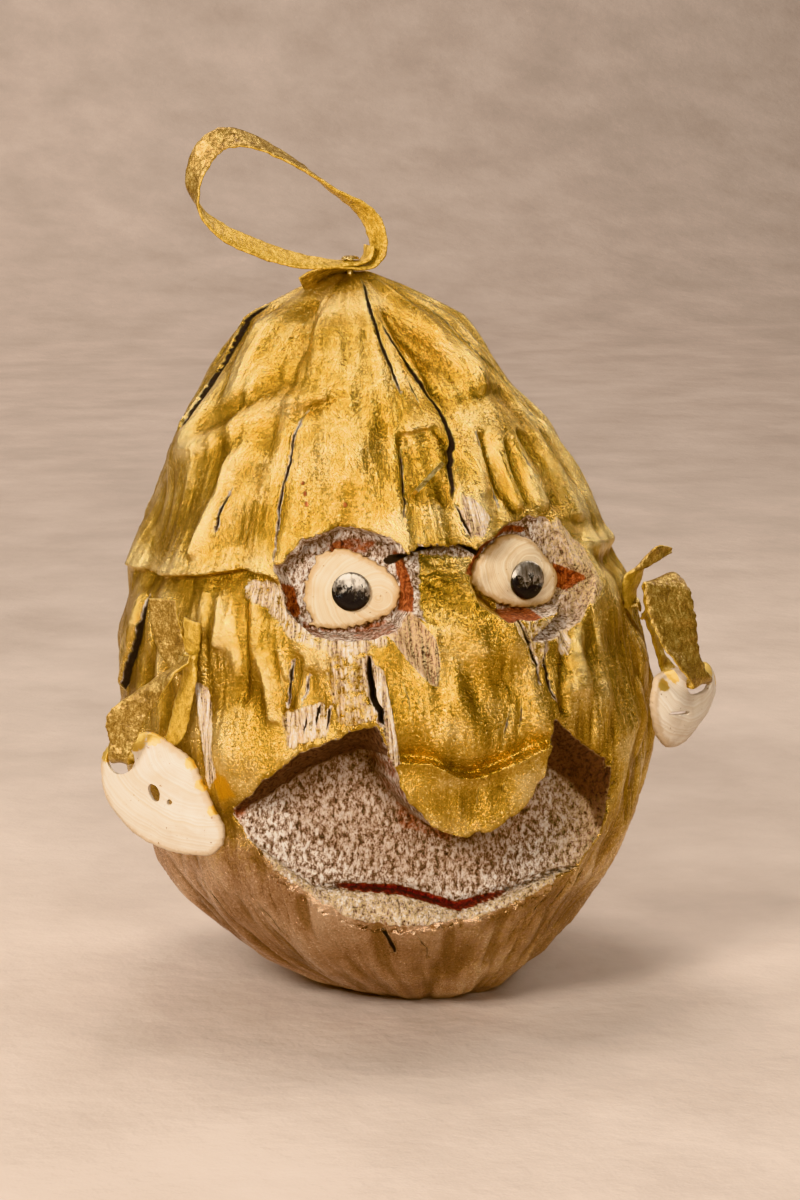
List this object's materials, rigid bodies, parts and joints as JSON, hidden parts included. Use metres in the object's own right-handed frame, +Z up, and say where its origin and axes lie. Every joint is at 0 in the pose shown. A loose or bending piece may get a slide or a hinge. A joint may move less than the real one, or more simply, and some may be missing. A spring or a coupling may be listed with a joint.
{
  "type": "carved coconut head with hanging loop",
  "caption": "Whole coconut husk carved into a face and painted gold, with shell eyes, shell ears on leather straps and a leather hanging loop.",
  "frame": {"origin": "centre of the sawn flat base, on the surface it stands on", "axes": "+Z up towards the stem tip, the face looks along -Y, and +X is the figure's own left"},
  "size_m": [0.2142, 0.184, 0.2947],
  "materials": {
    "gold_husk": "satin metallic gold paint over coconut fibre, bare fibre in the cuts",
    "eye_shell": "dull ivory sea shell",
    "ear_shell": "satin ivory sea shell",
    "black_tack": "gloss black",
    "gilded_steel": "satin, gold paint over steel",
    "gold_leather": "gold paint on the grain side, bare mustard suede on the flesh side"
  },
  "bodies": {
    "head": {"husk": "gold_husk", "eye_plate_right": "eye_shell", "eye_plate_left": "eye_shell", "pupil_right": "black_tack", "pupil_left": "black_tack", "brow_staple": "gilded_steel", "loop_tail": "gold_leather", "loop_end": "gold_leather", "loop_nail": "gilded_steel", "ear_tab_right": "gold_leather", "ear_nail_right": "gilded_steel", "ear_tab_left": "gold_leather", "ear_nail_left": "gilded_steel"},
    "loop": {"hanging_loop": "gold_leather"},
    "right_ear_strap": {"ear_loop_right": "gold_leather"},
    "right_ear_lobe": {"ear_shell_right": "ear_shell"},
    "left_ear_strap": {"ear_loop_left": "gold_leather"},
    "left_ear_lobe": {"ear_shell_left": "ear_shell"}
  },
  "joints": [
    {"name": "loop_flex", "type": "hinge", "parent": "head", "child": "loop", "pos_m": [-0.0185, -0.005, 0.2498], "axis": [0, 1, 0], "range_deg": [0, 45], "stiffness_Nm_per_rad": 0.03},
    {"name": "right_ear_flex", "type": "hinge", "parent": "head", "child": "right_ear_strap", "pos_m": [-0.0885, -0.0455, 0.1255], "axis": [-0.4899, 0.8718, 0], "range_deg": [0, 25]},
    {"name": "right_lobe_swing", "type": "hinge", "parent": "right_ear_strap", "child": "right_ear_lobe", "pos_m": [-0.109, -0.0344, 0.0914], "axis": [-0.7915, 0.6112, 0], "range_deg": [0, 12]},
    {"name": "left_ear_flex", "type": "hinge", "parent": "head", "child": "left_ear_strap", "pos_m": [0.0685, -0.036, 0.1345], "axis": [-0.4299, -0.9029, 0], "range_deg": [0, 25]},
    {"name": "left_lobe_swing", "type": "hinge", "parent": "left_ear_strap", "child": "left_ear_lobe", "pos_m": [0.0878, -0.0417, 0.1085], "axis": [-0.7915, -0.6112, 0], "range_deg": [0, 15]}
  ]
}
